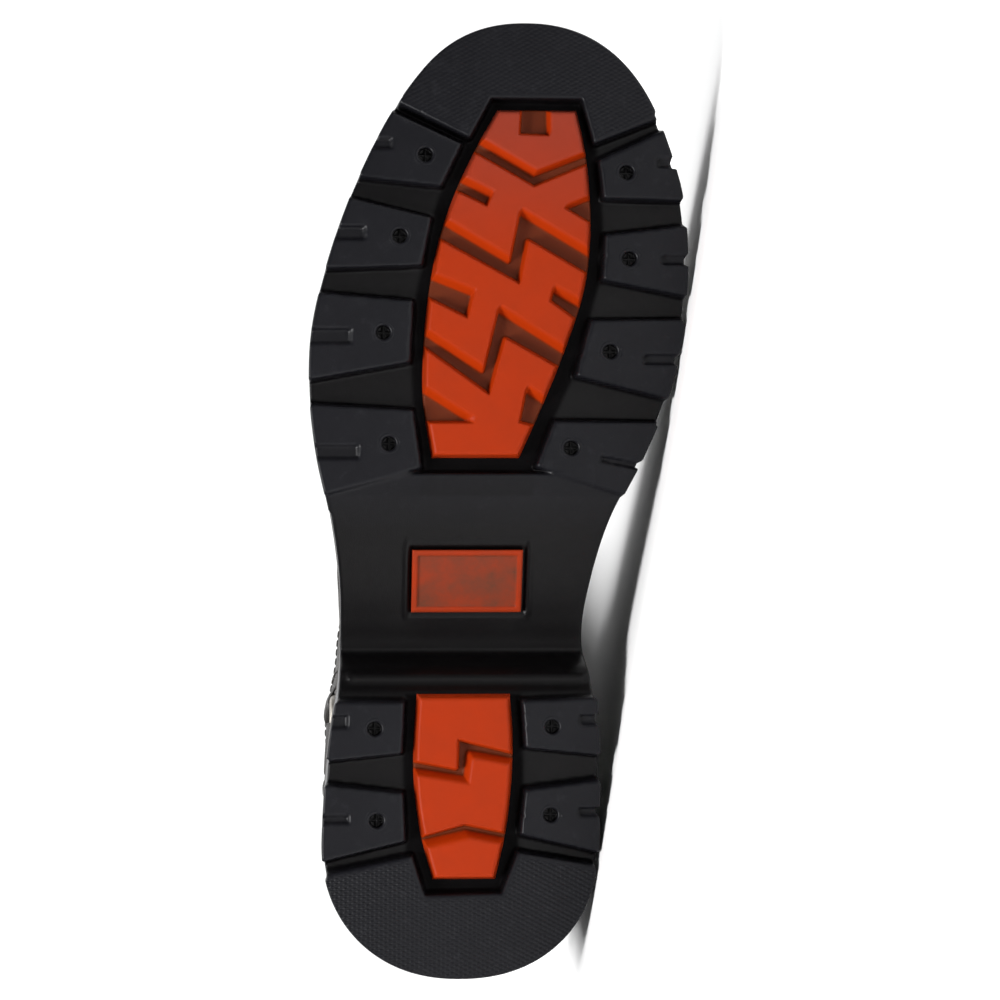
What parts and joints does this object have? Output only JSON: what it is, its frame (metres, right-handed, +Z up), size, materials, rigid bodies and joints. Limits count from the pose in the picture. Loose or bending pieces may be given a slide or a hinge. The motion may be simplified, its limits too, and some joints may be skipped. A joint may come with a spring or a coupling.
{
  "type": "motorcycle boot",
  "caption": "Right pull-on harness motorcycle boot in black leather on a moulded lug sole with a block heel and coloured tread inserts, lying on its side.",
  "frame": {"origin": "on the floor under the middle of the boot's box, as the boot lies on its medial side", "axes": "+X towards the toe, +Y up the leg towards the collar (the sole faces -Y), +Z up from the floor, away from the medial side"},
  "size_m": [0.313, 0.3026, 0.1199],
  "materials": {
    "black_rubber": "moulded, satin",
    "orange_rubber": "moulded, satin",
    "welt_leather": "edge-dressed",
    "insole_leather": "plain, matt",
    "black_leather": "oiled, fine grain",
    "strap_leather": "oiled, burnished edges",
    "nickel_plate": "polished"
  },
  "bodies": {
    "root": {"outsole": "black_rubber", "forefoot_insert": "orange_rubber", "heel_insert": "orange_rubber", "waist_plate": "orange_rubber", "welt": "welt_leather", "insole": "insole_leather", "upper": "black_leather", "heel_strap": "strap_leather", "instep_strap": "strap_leather", "arch_strap_lateral": "strap_leather", "arch_strap_medial": "strap_leather", "ring_lateral": "nickel_plate", "ring_medial": "nickel_plate"}
  },
  "joints": []
}
